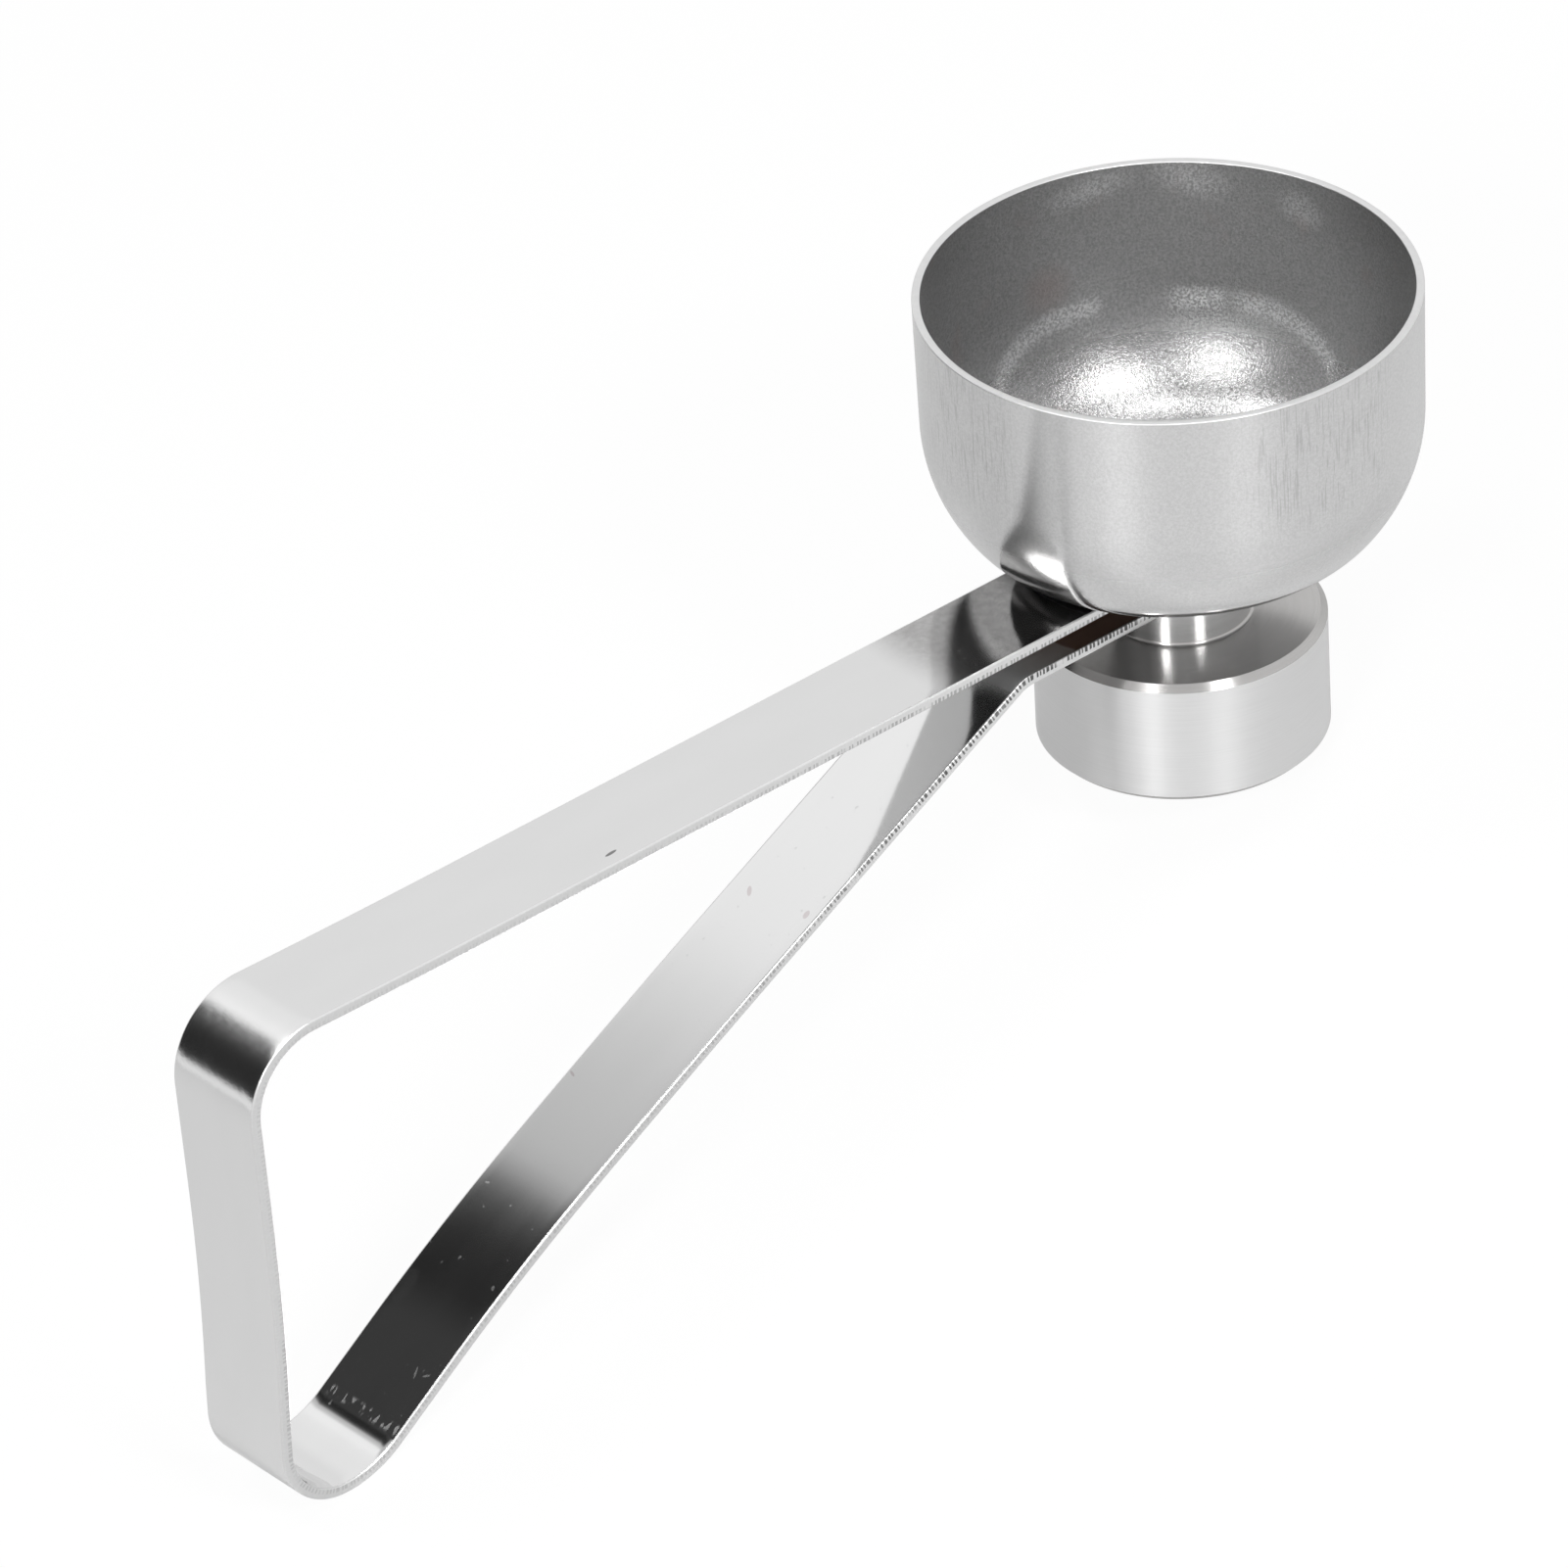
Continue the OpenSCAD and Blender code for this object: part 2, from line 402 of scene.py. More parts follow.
class Finish:
    """Builds one material, or the world, out of nodes."""

    def __init__(self, owner):
        self.owner = owner
        owner.use_nodes = True
        self.tree = owner.node_tree
        self.tree.nodes.clear()

    def node(self, kind, settings=None, inputs=None, output=0):
        """Any node: its settings or a ramp's stops, then the values or links of its sockets."""
        made = self.tree.nodes.new(kind)
        for key, value in (settings or {}).items():
            if key == "stops":
                ramp = made.color_ramp
                while len(ramp.elements) < len(value):
                    ramp.elements.new(0.5)
                for element, (at, colour) in zip(ramp.elements, value):
                    element.position, element.color = at, colour
            else:
                setattr(made, key, value)
        for key, value in (inputs or {}).items():
            if isinstance(value, Socket):
                self.tree.links.new(value.out, made.inputs[key])
            else:
                made.inputs[key].default_value = value
        return Socket(self, made.outputs[output] if made.outputs else None)

    def place(self):
        return self.node("ShaderNodeAttribute", {"attribute_name": "place"}, output="Vector")

    def split(self, vector):
        first = self.node("ShaderNodeSeparateXYZ", None, {0: vector})
        return [Socket(self, first.out.node.outputs[i]) for i in range(3)]

    def join(self, x, y, z):
        return self.node("ShaderNodeCombineXYZ", None, {0: x, 1: y, 2: z})

    def scaled(self, vector, x, y, z):
        return self.node(
            "ShaderNodeVectorMath", {"operation": "MULTIPLY"}, {0: vector, 1: (x, y, z)}
        )

    def noise(self, vector, scale=1.0, detail=2.0, roughness=0.5):
        return self.node(
            "ShaderNodeTexNoise",
            None,
            {"Vector": vector, "Scale": scale, "Detail": detail, "Roughness": roughness},
        )

    def mixed(self, share, a, b):
        """Colour a where share is 0 and b where it is 1."""
        return self.node("ShaderNodeMix", {"data_type": "RGBA"}, {0: share, 6: a, 7: b}, output=2)

    def bump(self, height, depth, normal=None):
        """depth is the height's full range in millimetres."""
        inputs = {"Height": height, "Distance": depth * MM}
        if normal is not None:
            inputs["Normal"] = normal
        return self.node("ShaderNodeBump", None, inputs)

    def spot(self, u, v, centre, size, turn, core=0.5):
        """1 in the core of a soft-edged oval of the two coordinates, 0 outside it."""
        c, s = math.cos(math.radians(turn)), math.sin(math.radians(turn))
        u, v = u - centre[0], v - centre[1]
        across, along = (u * c + v * s) / size[0], (v * c - u * s) / size[1]
        return 1 - (across * across + along * along).smooth(core, 1.0)

    def spots(self, u, v, ovals, core=0.5):
        """The sum of the spots of a list of (centre, size, turn)."""
        total = 0.0
        for centre, size, turn in ovals:
            total = self.spot(u, v, centre, size, turn, core) + total
        return total

    def steel(self, colour, roughness, normal=None, grooves=None):
        """grooves is how strongly grooves that run round the piece's own Z spread its gloss."""
        inputs = {"Base Color": colour, "Metallic": 1.0, "Roughness": roughness}
        if grooves is not None:
            inputs.update({"Anisotropic": grooves, "Anisotropic Rotation": 0.25})
        if normal is not None:
            inputs["Normal"] = normal
        return self.node("ShaderNodeBsdfPrincipled", None, inputs)

    def close(self, shader):
        kind = "World" if isinstance(self.owner, bpy.types.World) else "Material"
        self.node(f"ShaderNodeOutput{kind}", None, {"Surface": shader})
        return self.owner


def grey(value, warmth=0.0):
    """A grey, a little redder and less blue with warmth."""
    return (value * (1 + warmth), value, value * (1 - warmth), 1.0)


def from_cup(along, run):
    """Length along the strip from the cup's axis, measured on whichever arm is nearer."""
    return run / 2 - (along - run / 2).math("ABSOLUTE")


# How far round the cup's axis the strip's faces are burnt, dulled and given painted shade between the
# arms, and
# given painted shade on their outer faces: where each starts to fade, and where it ends
BURNT, DULLED_AND_SHADED, CUP_SHADE_REACH = (13.9, 14.2), (19.0, 21.5), (22.5, 27.0)

# Marks on the strip's face: middle (along, across), half size and turn in degrees. Lengths on the
# lower arm run from the hammer's axis, those on the upper arm and its bend from the cup's axis.
SCUFFS = (
    ((41.8, -2.2), (0.5, 0.2), 40),
    ((41.2, 3.2), (0.4, 0.25), 10),
    ((59.7, -3.6), (0.35, 0.12), 70),
)
NICKS = (((83.4, 2.1), (0.55, 0.1), 20), ((83.2, 3.05), (0.35, 0.1), -50))
SMEAR = ((78.6, -3.4), (1.6, 0.9), 0)
# A dark oval painted as the shade of a small dent, with no dent in the surface
DENT_SHADE = ((55.8, 2.91), (0.62, 0.16), 6)
CREASE, CREASE_SIDE = ((86.9, 87.3), (87.7, 88.2)), (-3.9, -3.1)
WORN_BEND = ((80, 86), (91, 97))
TIGHTEST_BEND = ((83.5, 85.5), (87, 88.5))


def polished_strip(run):
    """Bright rolled strip: nearly a mirror, with faint rolling lines, haze and a few small marks.
    Its faces that look at each other under the cup are dulled and painted darker, a painted shade
    between the arms, and burnt brown at the fixings. Its outer faces are painted dark near the cup, a
    painted shade under the cup's foot and over the hammer. The outside of the upper bend is worn, and
    the foot is creased where its curve starts."""
    f = Finish(bpy.data.materials.new("polished_strip"))
    place = f.place()
    lines = f.noise(f.scaled(place, 0.06, 9.0, 1.0), 1.0, 3.0)
    haze = f.noise(f.scaled(place, 0.12, 0.35, 0.3), 1.0, 2.0)
    wave = f.noise(f.scaled(place, 0.05, 0.1, 0.0), 1.0, 0.0)
    along, across, inward = f.split(place)
    back = run - along
    out = from_cup(along, run)
    reach = (out * out + across * across) ** 0.5
    within = inward.smooth(0.2, 0.3)
    burnt = (1 - reach.smooth(*BURNT)) * within
    # Painted shade: between the arms the faces are painted a darker grey, and are also rougher
    dull_and_shaded = (1 - reach.smooth(*DULLED_AND_SHADED)) * within
    # Painted shade: the outer faces are painted dark near the cup, under its foot and over the hammer
    cup_shade = (1 - reach.smooth(*CUP_SHADE_REACH)) * (1 - within)
    dent_shade = f.spot(back, across, *DENT_SHADE)
    scuffs = f.spots(along, across, SCUFFS)
    nicks = f.spots(along, across, NICKS) + 0.2 * f.spot(along, across, *SMEAR)
    creased = along.between(*CREASE) * across.smooth(*CREASE_SIDE)
    creased = creased * f.noise(f.join(along * 0.8, across * 2.6, 0.0), 1.0, 1.0).smooth(0.52, 0.6)
    bend = back.between(*WORN_BEND)
    worn = bend * (1 - within)
    dust = f.noise(place, 1.7, 1.0).smooth(0.74, 0.77) * (1 - bend)
    pale = 0.32 * nicks + 0.4 * creased + 0.22 * dust
    plain = f.mixed(haze, grey(0.765), grey(0.8))
    plain = f.mixed(scuffs * 0.5, plain, (0.5, 0.42, 0.43, 1.0))
    # Painted shade of the small dent
    plain = f.mixed(dent_shade * 0.8, plain, grey(0.12))
    grain = f.noise(place, 1.6, 3.0, 0.65)
    # The painted shade near the cup, broken up by the grain
    cup_shade_share = cup_shade * (0.3 + 0.35 * grain)
    plain = f.mixed(cup_shade_share, plain, (0.1, 0.09, 0.085, 1.0))
    brown = (0.27, 0.185, 0.145, 1.0)
    # The painted shade between the arms is a darker grey, brown where burnt at the fixings
    colour = f.mixed(dull_and_shaded, plain, f.mixed(burnt, grey(0.6), brown))
    rubbed = worn * (0.09 + back.between(*TIGHTEST_BEND) * (0.02 + 0.1 * grain))
    roughness = 0.05 + 0.04 * haze + 0.02 * lines + 0.3 * dull_and_shaded + rubbed + 0.5 * pale
    normal = f.bump(wave, 0.012, f.bump(lines, 0.00012, f.bump(grain * (worn + dull_and_shaded), 0.01)))
    return f.close(f.steel(colour, roughness, normal))


def sheared_edge(run):
    """The strip's edges: cut and lightly rounded, with short cross ticks from the shears on the
    half that faces into the handle, strongest near the cup and on the lower arm."""
    f = Finish(bpy.data.materials.new("sheared_edge"))
    place = f.place()
    along, _, inward = f.split(place)
    near = 1 - from_cup(along, run).smooth(22, 60)
    stray = f.noise(f.join(along * 1.3, 0.0, 0.0), 1.0, 2.0)
    comb = (along * 17.0 + stray * 14.0).math("SINE")
    patch = f.noise(f.join(along * 0.5, inward * 0.5, 4.0), 1.0, 2.0)
    depth = f.noise(f.join(along * 2.2, 0.0, 8.0), 1.0, 1.0)
    torn = (inward + 0.25 * depth).smooth(0.1, 0.16)
    torn = torn * (1 - (inward - 0.07 * near).smooth(0.31, 0.37))
    lower_arm = 1 - along.smooth(run / 2 - 1, run / 2 + 1)
    ticks = comb.smooth(-0.4, 0.4) * torn * patch.smooth(0.3, 0.52) * (0.5 + 0.5 * lower_arm)
    fine = f.noise(f.join(along * 9.0, inward * 2.0, 0.5), 1.0, 2.0)
    plain = f.mixed(near, grey(0.8), grey(0.88))
    marks = ticks * (0.2 + 0.7 * near)
    colour = f.mixed(marks, f.mixed(fine * 0.3, plain, grey(0.5)), grey(0.05))
    # Painted shade: near the cup on the lower arm, the rounded corner by the inner face is painted
    # darker, dimming its highlight
    corner_shade = inward.smooth(0.34, 0.4) * near * lower_arm
    colour = f.mixed(corner_shade * 0.8, colour, grey(0.4))
    normal = f.bump(fine, 0.004, f.bump(marks, 0.01))
    return f.close(f.steel(colour, 0.3 + 0.15 * marks, normal))


def drawn_outside():
    """The cup's outside: bright where the die burnished its shoulder, satin up the wall, with
    patches of fine scratches drawn up it, and a painted shade on its underside."""
    f = Finish(bpy.data.materials.new("drawn_outside"))
    place = f.place()
    x, y, z = f.split(place)
    wall = z.smooth(CUP_Z + 3, CUP_Z + 9)
    underside = 1 - z.smooth(CUP_Z + 0.3, CUP_Z + 1.3)
    fine = f.noise(f.scaled(place, 7.0, 7.0, 0.35), 1.0, 2.0, 0.6)
    left = ((0.99 * x - 0.14 * y) / CUP_R).smooth(0.93, 0.98)
    rightward = ((0.1 * x + 0.995 * y) / CUP_R).smooth(0.91, 0.97)
    patch = (left + rightward) * z.smooth(CUP_Z + 7, CUP_Z + 12)
    mottle = f.noise(place, 4.5, 3.0, 0.8).smooth(0.3, 0.7)
    scratches = fine.smooth(0.53, 0.66) * patch
    colour = f.mixed(scratches * 0.4, f.mixed(mottle, grey(0.66), grey(0.77)), grey(0.4))
    # Painted shade: the cup's underside, where it sits on the strip, is painted dark grey
    colour = f.mixed(underside, colour, grey(0.35))
    normal = f.bump(fine * wall, 0.0012, f.bump(mottle, 0.0015 + 0.0015 * wall))
    crisp = f.steel(colour, 0.08 + 0.08 * scratches + 0.2 * underside, normal, 0.8)
    broad = f.steel(colour, 0.36 + 0.03 * mottle, normal, 0.95)
    return f.close(f.node("ShaderNodeMixShader", None, {0: 0.04 + 0.4 * wall, 1: crisp, 2: broad}))


# Painted highlights of the lamps inside the cup: the bearing of their middle in degrees, then lengths
# round the wall from there and heights over the cup's underside
HIGHLIGHTS_BEARING = 230.0
HIGHLIGHT_RING_PIECES = ((4.5, 14.5), (-4.6, -0.9), (-14.5, -5.8))
HIGHLIGHT_PATCHES = (
    ((4.9, 18.0), (4.4, 1.5), -12),
    ((-2.4, 18.3), (3.8, 2.0), 20),
    ((-10.9, 17.0), (2.4, 1.8), 10),
)
STAIN = ((8.5, 10.8), (2.6, 2.6), 0)
SOFT_CORE = -0.3  # a spot that fades from its middle on


def grained_inside():
    """The cup's inside: matt and grainy, as the sheet came off the press, with pale broken painted
    highlights of the lamps: a ring low on the wall and three patches under the rim."""
    f = Finish(bpy.data.materials.new("grained_inside"))
    place = f.place()
    x, y, z = f.split(place)
    c, s = math.cos(math.radians(HIGHLIGHTS_BEARING)), math.sin(math.radians(HIGHLIGHTS_BEARING))
    round_way = (y * c - x * s).math("ARCTAN2", x * c + y * s) * (CUP_R - CUP_WALL)
    height = z - CUP_Z
    grain = f.noise(place, 5.0, 3.0, 0.75).smooth(0.28, 0.72)
    cloud = f.noise(place, 0.22, 2.0)
    stain = f.noise(f.scaled(place, 0.3, 0.3, 0.2), 1.0, 2.0).smooth(0.6, 0.8)
    stain = 0.35 * stain + 0.45 * f.spot(round_way, height, *STAIN, SOFT_CORE)
    bowl = 1 - height.smooth(3.5, RIDGE_Z - 0.5)
    sag = (round_way / 14.0) ** 4 * 2.9
    # Painted highlights: a broken pale ring low on the wall, lower away from their middle bearing,
    # and three pale patches under the rim; marks holds them
    ring = 1 - (height + sag - RIDGE_Z).math("ABSOLUTE").smooth(0.2, 1.3)
    highlight_pieces = 0.0
    for start, end in HIGHLIGHT_RING_PIECES:
        highlight_pieces = round_way.between((start - 0.8, start + 0.8), (end - 1.2, end + 1.2)) + highlight_pieces
    marks = ring * highlight_pieces + 0.85 * f.spots(round_way, height, HIGHLIGHT_PATCHES, SOFT_CORE)
    marks = marks * (0.25 + 0.75 * f.noise(place, 5.0, 2.0, 0.7).smooth(0.4, 0.62))
    # Painted shade: low in the cup the bowl is painted a little darker than the wall
    dark, light = f.mixed(bowl, grey(0.36), grey(0.31)), f.mixed(bowl, grey(0.57), grey(0.52))
    colour = f.mixed(stain, f.mixed(grain, dark, light), (0.46, 0.37, 0.35, 1.0))
    # The painted highlights, near white
    colour = f.mixed(marks * 0.7, colour, grey(0.97))
    normal = f.bump(grain, 0.016 - 0.004 * bowl + 0.01 * marks, f.bump(cloud, 0.03))
    return f.close(f.steel(colour, 0.34 - 0.22 * bowl + 0.04 * cloud, normal))


def cut_rim():
    """The cup's rim, trimmed flat."""
    f = Finish(bpy.data.materials.new("cut_rim"))
    grain = f.noise(f.scaled(f.place(), 2.0, 2.0, 2.0), 1.0, 3.0)
    colour = f.mixed(grain, grey(0.7), grey(0.8))
    return f.close(f.steel(colour, 0.25 + 0.1 * grain, f.bump(grain, 0.003)))


def turned_steel(name, shade, roughness, grooves, depth, warmth=0.0):
    """The hammer: fine lathe lines that run round it, with depth as their full height."""
    f = Finish(bpy.data.materials.new(name))
    place = f.place()
    x, y, z = f.split(place)
    radius = (x * x + y * y) ** 0.5
    rings = f.noise(f.join(radius, z, 0.02 * x), 9.0, 3.0, 0.7)
    tool_marks = f.noise(f.join(radius, z, 0.01 * y), 2.2, 1.0)
    colour = f.mixed(rings, grey(shade - 0.05, warmth), grey(shade + 0.05, warmth))
    normal = f.bump(rings, depth, f.bump(tool_marks, depth / 2))
    return f.close(f.steel(colour, roughness + 0.06 * rings, normal, grooves))


def set_rivet():
    """Rivet: smooth, faintly marked by the tool that set it."""
    f = Finish(bpy.data.materials.new("set_rivet"))
    grain = f.noise(f.place(), 2.5, 3.0)
    colour = f.mixed(grain, grey(0.66), grey(0.76))
    return f.close(f.steel(colour, 0.16 + 0.12 * grain, f.bump(grain, 0.006)))


OUTSIDE, INSIDE, RIM = drawn_outside(), grained_inside(), cut_rim()
TURNED_WALL = turned_steel("turned_wall", shade=0.83, roughness=0.33, grooves=0.88, depth=0.004)
# The face and neck take darker greys of the same turned steel than the wall, a painted shade; the
# face's faint warmth is a painted reflection of the strip's brown
SHADED_TURNED_FACE = turned_steel("shaded_turned_face", 0.54, 0.23, 0.9, 0.0015, warmth=0.015)
SHADED_TURNED_NECK = turned_steel("shaded_turned_neck", 0.58, 0.21, 0.85, 0.002)
RIVET = set_rivet()


# ---------------------------------------------------------------- the strip
# The lower arm is worked out from the foot to the hammer, and its straight closes the loop
lower_bend = LOWER_BEND_R - HALF_T
relaxed_bend = RELAXED_BEND_R - HALF_T
kink = KINK_R + HALF_T
foot, mid, slope = (math.radians(a) for a in (FOOT_SLOPE, BOW_SLOPE, ARM_SLOPE))

foot_z = FLEX_Z - lower_bend + relaxed_bend * (1 - math.cos(foot)) + FOOT_LEN * math.sin(foot)
bow_rise = BOW_R * (math.cos(mid) - math.cos(foot)) + LONG_BOW_R * (math.cos(slope) - math.cos(mid))
bow_reach = BOW_R * (math.sin(foot) - math.sin(mid)) + LONG_BOW_R * (math.sin(mid) - math.sin(slope))
kink_rise = kink * (1 - math.cos(slope))
arm_len = (LOWER_ARM_Z + HALF_T - kink_rise - foot_z - bow_rise) / math.sin(slope)
foot_x = FLEX_X - lower_bend - relaxed_bend * math.sin(foot) - FOOT_LEN * math.cos(foot)
under_cup_len = foot_x - bow_reach - arm_len * math.cos(slope) - kink * math.sin(slope)

# Both paths start on the cup's axis and meet at the flex point, at the foot of the short side
UPPER_SHAPE = [
    (ARM_LIFT_R, ARM_LIFT),
    (UPPER_BEND_R, -90 - ARM_LIFT - SIDE_LEAN),
    (SIDE_LEN, 0),
    (SIDE_BOW_R, SIDE_LEAN + SIDE_TUCK),
    (SIDE_END_R, -SIDE_TUCK),
]
end_x, end_z = follow(UPPER_SHAPE, 0, UPPER_ARM_Z + HALF_T)[-1][:2]
UPPER_PATH = [(FLEX_X - end_x, 0), *UPPER_SHAPE, (end_z - FLEX_Z, 0)]
LOWER_PATH = [
    (under_cup_len, 0),
    (kink, -ARM_SLOPE),
    (arm_len, 0),
    (LONG_BOW_R, ARM_SLOPE - BOW_SLOPE),
    (BOW_R, BOW_SLOPE - FOOT_SLOPE),
    (FOOT_LEN, 0),
    (relaxed_bend, FOOT_SLOPE),
    (lower_bend, 90),
]
LOWER_RUN = follow(LOWER_PATH, 0, 0)[-1][3]
STRIP_RUN = LOWER_RUN + follow(UPPER_PATH, 0, 0)[-1][3]

strip_finishes = [polished_strip(STRIP_RUN), sheared_edge(STRIP_RUN), RIVET]
rivet_hole_r = RIVET_R + PIN_FIT
upper = strip_piece(
    "spring_strip_upper", UPPER_PATH, UPPER_ARM_Z + HALF_T, rivet_hole_r, rivet_hole_r,
    strip_finishes, lambda run: STRIP_RUN - run, -1,
)
tenon_hole_r = TENON_R + PIN_FIT
lower = strip_piece(
    "spring_strip_lower", LOWER_PATH, LOWER_ARM_Z + HALF_T, tenon_hole_r + HALF_T, tenon_hole_r,
    strip_finishes, lambda run: run, 1,
)

# ---------------------------------------------------------------- the cup
shoulder_end = CUP_DRAFT + SHOULDER_TURN
draft = math.radians(CUP_DRAFT)
shoulder_z = CORNER_R + (SHOULDER_R - CORNER_R) * math.sin(math.radians(shoulder_end))
wall_z = shoulder_z - SHOULDER_R * math.sin(draft)
wall_r = CUP_R - (CUP_H - wall_z) * math.tan(draft)
shoulder_x = wall_r - SHOULDER_R * math.cos(draft)
corner_x = shoulder_x + (SHOULDER_R - CORNER_R) * math.cos(math.radians(shoulder_end))


def cup_face(inset):
    """One face of the sheet, from just under the rim to the rivet hole."""
    face = [(CUP_R - inset / math.cos(draft) - RIM_ROUND * math.tan(draft), CUP_H - RIM_ROUND)]
    face += arc(shoulder_x, shoulder_z, SHOULDER_R - inset, -CUP_DRAFT, -shoulder_end, 2)
    face += arc(corner_x, CORNER_R, CORNER_R - inset, -shoulder_end, -90, 2)
    return face + [(corner_x, inset), (corner_x * 0.5, inset), (rivet_hole_r, inset)]


ON_OUTSIDE, ON_INSIDE, ON_RIM = 0, 1, 2
rim_z = CUP_H - RIM_ROUND
inner_rim_x = CUP_R - CUP_WALL / math.cos(draft) + RIM_ROUND
rim = arc(inner_rim_x, rim_z, RIM_ROUND, 180, 90, 22.5)
rim += arc(CUP_R - RIM_ROUND, rim_z, RIM_ROUND, 90, 0, 22.5)
profile = [(r, z, ON_OUTSIDE) for r, z in cup_face(0)]
profile += [
    (r - RIDGE_H * math.exp(-(((z - RIDGE_Z) / RIDGE_HALF) ** 2)), z, ON_INSIDE)
    for r, z in reversed(cup_face(CUP_WALL)[1:])
]
profile += [(r, z, ON_RIM) for r, z in rim]
cup = turned_piece(
    "drawn_cup",
    [(r, z + CUP_Z, kind) for r, z, kind in profile],
    [OUTSIDE, INSIDE, RIM],
    around=320,
)

# ---------------------------------------------------------------- the rivet
head_z = CUP_Z + CUP_WALL
dome_r = (RIVET_HEAD_R**2 + RIVET_HEAD_H**2) / (2 * RIVET_HEAD_H)
dome_edge = math.degrees(math.asin((dome_r - RIVET_HEAD_H) / dome_r))
rivet_shape = [
    (0, UPPER_ARM_Z - BUTTON_H),
    (BUTTON_R - BUTTON_CHAMFER, UPPER_ARM_Z - BUTTON_H),
    (BUTTON_R, UPPER_ARM_Z - BUTTON_H + BUTTON_CHAMFER),
    (BUTTON_R, UPPER_ARM_Z),
    (RIVET_R, UPPER_ARM_Z),
    (RIVET_R, head_z),
    *arc(0, head_z + RIVET_HEAD_H - dome_r, dome_r, dome_edge, 90),
    (0, head_z + RIVET_HEAD_H),
]
rivet = turned_piece("domed_rivet", [(r, z, 0) for r, z in rivet_shape], [RIVET], around=96)

# ---------------------------------------------------------------- the hammer
fillet_x, fillet_z = NECK_R + NECK_FILLET, WEIGHT_H + NECK_FILLET
flare_z = LOWER_ARM_Z + HALF_T
FACE, WALL, NECK = 0, 1, 2
hammer_shape = [
    (0, 0, FACE),
    (WEIGHT_R - WEIGHT_CHAMFER, 0, FACE),
    (WEIGHT_R, WEIGHT_CHAMFER, WALL),
    (WEIGHT_R, WEIGHT_H - WEIGHT_CHAMFER, FACE),
    (WEIGHT_R - WEIGHT_CHAMFER, WEIGHT_H, FACE),
    *((r, z, FACE) for r, z in arc(fillet_x, fillet_z, NECK_FILLET, 270, 180, 15)),
    (NECK_R, fillet_z, NECK),
    (NECK_R, LOWER_ARM_Z, FACE),
    (TENON_R, LOWER_ARM_Z, FACE),
    (TENON_R, flare_z, FACE),
    (TENON_R + HALF_T, LOWER_ARM_Z + STRIP_T, FACE),
    (0, LOWER_ARM_Z + STRIP_T, FACE),
]
hammer = turned_piece("turned_hammer", hammer_shape, [SHADED_TURNED_FACE, TURNED_WALL, SHADED_TURNED_NECK])

# ---------------------------------------------------------------- what rides where
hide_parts("handle_upper_arm")
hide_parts("handle_lower_arm")
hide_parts("cup")
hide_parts("cup_rivet")
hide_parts("hammer")
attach(upper, "cup_side")
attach(cup, "cup_side")
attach(rivet, "cup_side")
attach(hammer, "hammer_side")
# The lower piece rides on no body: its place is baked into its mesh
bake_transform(lower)

# ---------------------------------------------------------------- camera
# Angles in degrees, distance and shift in millimetres, the shift to the right and up in the picture
VIEW_AZIMUTH, VIEW_ELEVATION, VIEW_ROLL = 40.0305, 33.1729, -3.15
VIEW_DISTANCE = 1000.0
VIEW_SHIFT = (-28.5462, -4.4377)
PIXELS, FOCAL_PIXELS = 1601, 14289.3

b, e, roll = (math.radians(a) for a in (VIEW_AZIMUTH, VIEW_ELEVATION, VIEW_ROLL))
back = Vector((math.cos(e) * math.sin(b), math.cos(e) * math.cos(b), math.sin(e)))
level_right = Vector((-math.cos(b), math.sin(b), 0))
level_up = back.cross(level_right)
right = math.cos(roll) * level_right + math.sin(roll) * level_up
up = math.cos(roll) * level_up - math.sin(roll) * level_right
lens = bpy.data.cameras.new("camera")
lens.sensor_width = 36.0
lens.lens = lens.sensor_width * FOCAL_PIXELS / PIXELS
camera = bpy.data.objects.new("camera", lens)
bpy.context.scene.collection.objects.link(camera)
stand = in_row(back * VIEW_DISTANCE + right * VIEW_SHIFT[0] + up * VIEW_SHIFT[1])
facing = Matrix((TOOL @ right, TOOL @ up, TOOL @ back)).transposed()
camera.matrix_world = Matrix.Translation(stand) @ facing.to_4x4()
bpy.context.scene.camera = camera


# ---------------------------------------------------------------- floor, surroundings, lamps
def pale_floor():
    """Nearly white to the camera and in part to the steel, over a dull floor that takes shadow."""
    f = Finish(bpy.data.materials.new("pale_floor"))
    seen = f.node("ShaderNodeLightPath", output="Is Camera Ray")
    mirrored = f.node("ShaderNodeLightPath", output="Is Glossy Ray")
    plain = f.node("ShaderNodeBsdfDiffuse", None, {"Color": grey(0.9)})
    glow = f.node("ShaderNodeEmission", None, {"Color": grey(1.0), "Strength": 1.02 - 0.2 * mirrored})
    shown = 0.93 * seen + 0.35 * mirrored
    return f.close(f.node("ShaderNodeMixShader", None, {0: shown, 1: plain, 2: glow}))


FLOOR_R, FLOOR_SIDES = 0.45, 96  # the radius in metres
angles = [math.tau * k / FLOOR_SIDES for k in range(FLOOR_SIDES)]
outline = [(FLOOR_R * math.cos(a), FLOOR_R * math.sin(a), 0) for a in angles]
floor_mesh = bpy.data.meshes.new("floor")
floor_mesh.from_pydata(outline, [], [list(range(FLOOR_SIDES))])
floor_mesh.materials.append(pale_floor())
floor = bpy.data.objects.new("floor", floor_mesh)
bpy.context.scene.collection.objects.link(floor)


# How bright the studio is at a bearing in degrees. It is darkest between 97 and 155.
SIDE_FROM, SIDE_SPAN = 60.0, 120.0
SIDE_BRIGHTNESS = [
    (60, 0.97), (73, 1.0), (80, 1.06), (86.8, 1.05), (88.6, 0.85), (90.5, 0.67), (93.2, 0.6),
    (94.6, 0.4), (95.6, 0.2), (97, 0.08), (99.5, 0.028), (104, 0.02), (107, 0.05), (114, 0.04),
    (130, 0.022), (150, 0.024), (155, 0.1), (159, 0.6), (166, 0.7), (180, 0.93),
]
CEILING_FROM, CEILING_FULL = 55, 59  # elevations in degrees


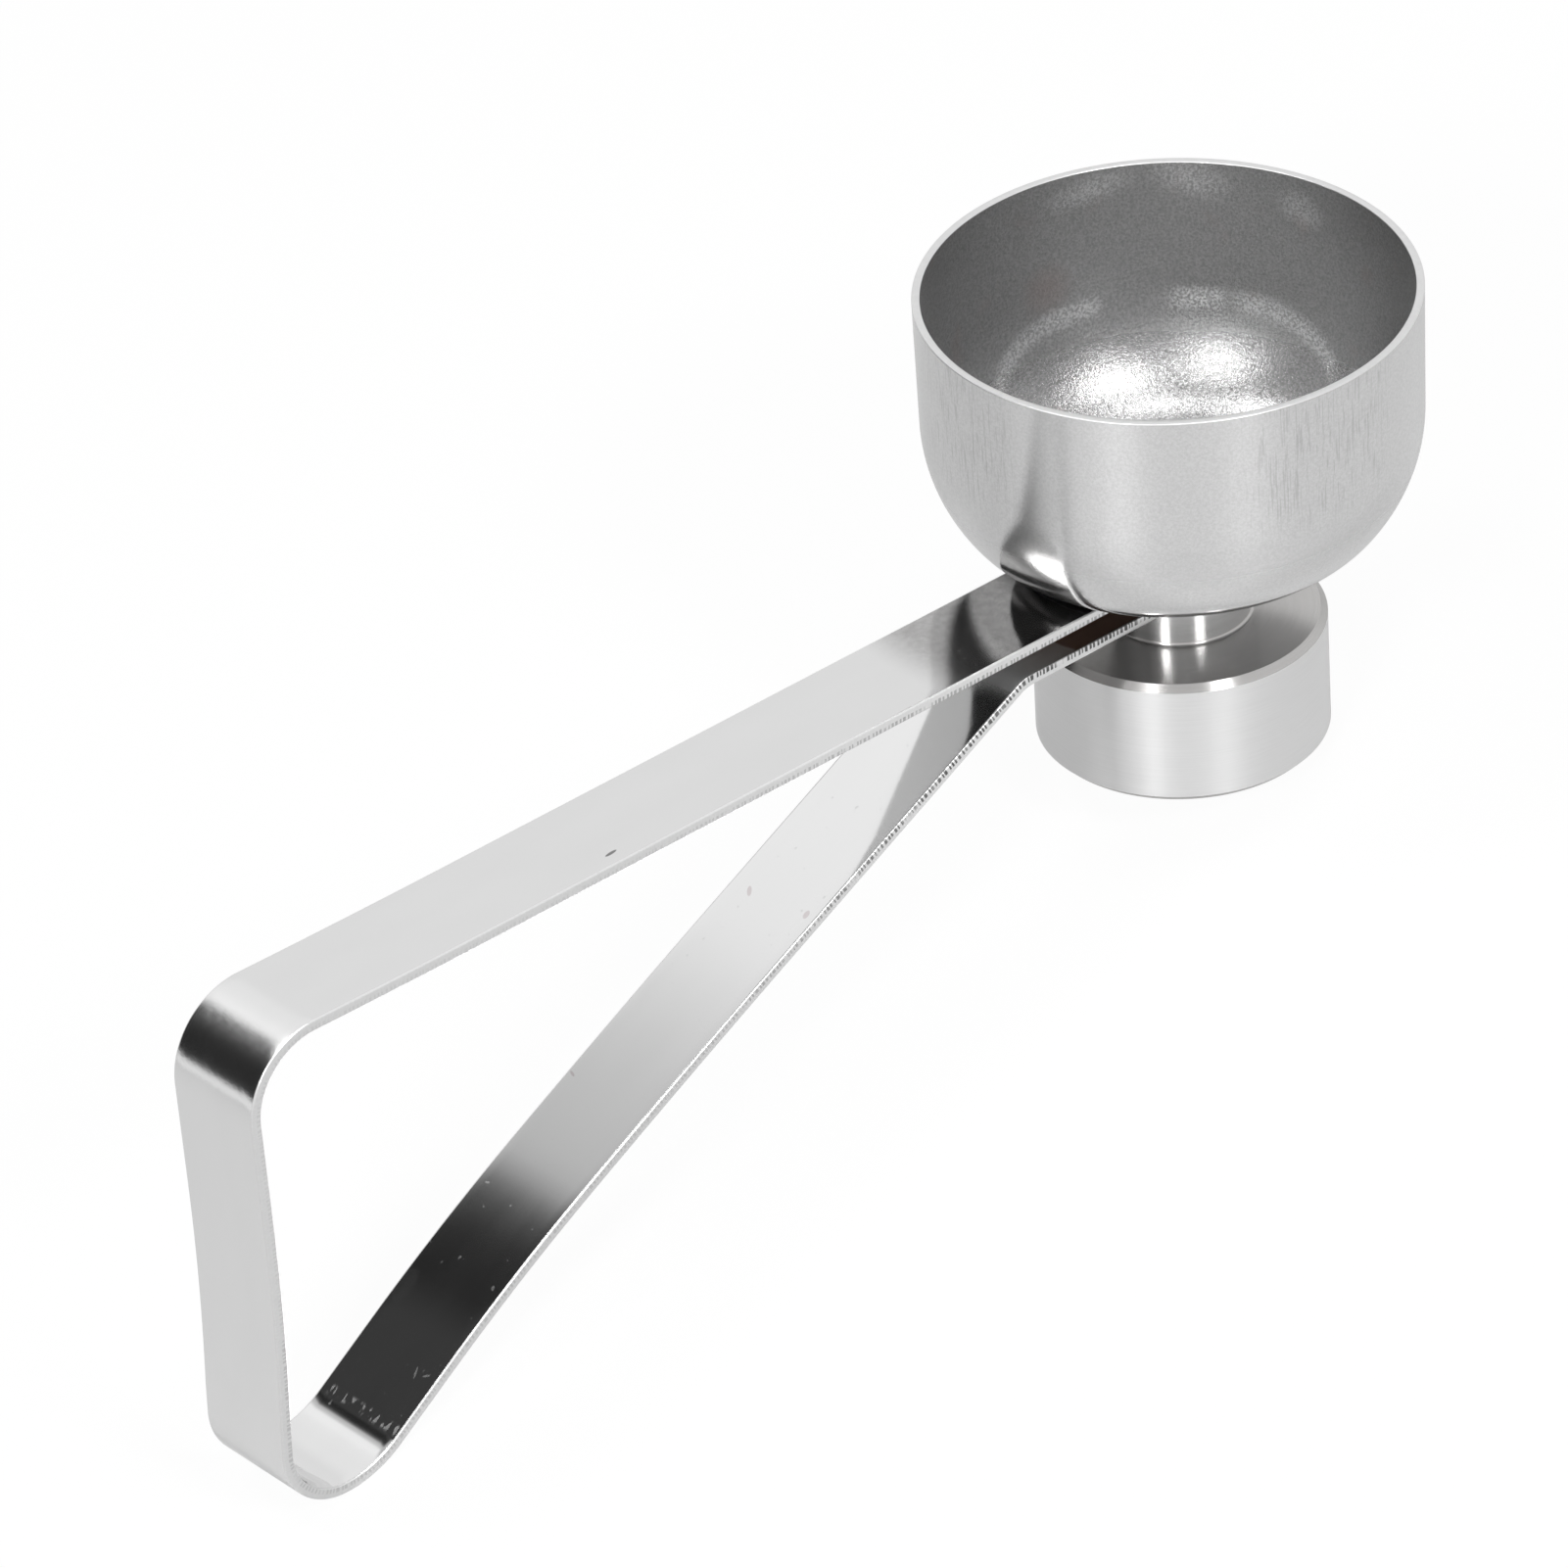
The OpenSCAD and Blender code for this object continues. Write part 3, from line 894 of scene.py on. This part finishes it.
def surroundings():
    """A pale studio with one dark side, which the polished steel shows as its dark bands."""
    f = Finish(bpy.data.worlds.new("surroundings"))
    x, y, z = f.split(f.node("ShaderNodeTexCoord", output="Generated"))
    bearing = y.math("ARCTAN2", x) * (180 / math.pi)
    stops = [((at - SIDE_FROM) / SIDE_SPAN, grey(value)) for at, value in SIDE_BRIGHTNESS]
    side = f.node("ShaderNodeValToRGB", {"stops": stops}, {0: (bearing - SIDE_FROM) / SIDE_SPAN})
    # Low down the studio is a touch darker than high up
    side = f.mixed(z.smooth(0.4, 0.6), f.mixed(0.08, side, grey(0.0)), side)
    # The dark side ends low down in a pale sweep, whose edge rises with the bearing
    side = f.mixed((z - 0.003 * (bearing - 125)).smooth(-0.02, 0.12), grey(0.93), side)
    ceiling = f.mixed(bearing.smooth(70, 88), grey(0.97), grey(0.55))
    high = z.smooth(*(math.sin(math.radians(a)) for a in (CEILING_FROM, CEILING_FULL)))
    shown = f.mixed(high, side, ceiling)
    seen = f.node("ShaderNodeLightPath", output="Is Camera Ray")
    spread = f.node("ShaderNodeLightPath", output="Is Diffuse Ray")
    light = {"Color": f.mixed(seen, shown, grey(1.0)), "Strength": 1 - 0.85 * spread}
    return f.close(f.node("ShaderNodeBackground", None, light))


bpy.context.scene.world = surroundings()

# In metres, in the row frame
LAMP_DISTANCE = 0.8
LAMP_AIM = Vector((0.02, 0, 0.02))


def soft_lamp(name, azimuth, elevation, size, watts):
    """A round lamp at a bearing and an elevation in degrees, size metres across."""
    lamp = bpy.data.lights.new(name, "AREA")
    lamp.shape, lamp.size, lamp.energy = "DISK", size, watts
    a, e = math.radians(azimuth), math.radians(elevation)
    way = Vector((math.cos(a) * math.cos(e), math.sin(a) * math.cos(e), math.sin(e)))
    holder = bpy.data.objects.new(name, lamp)
    holder.location = LAMP_AIM + way * LAMP_DISTANCE
    holder.rotation_mode = "QUATERNION"
    holder.rotation_quaternion = (-way).to_track_quat("-Z", "Y")
    bpy.context.scene.collection.objects.link(holder)


soft_lamp("lamp_right", -86, 40, 0.17, 1.75)
soft_lamp("lamp_left", -151, 42, 0.17, 1.75)
soft_lamp("lamp_high_right", -48, 72, 0.18, 0.9)
soft_lamp("lamp_high_back", 118, 71, 0.27, 1.4)

bpy.context.scene.view_settings.view_transform = "Standard"

bpy.context.view_layer.update()
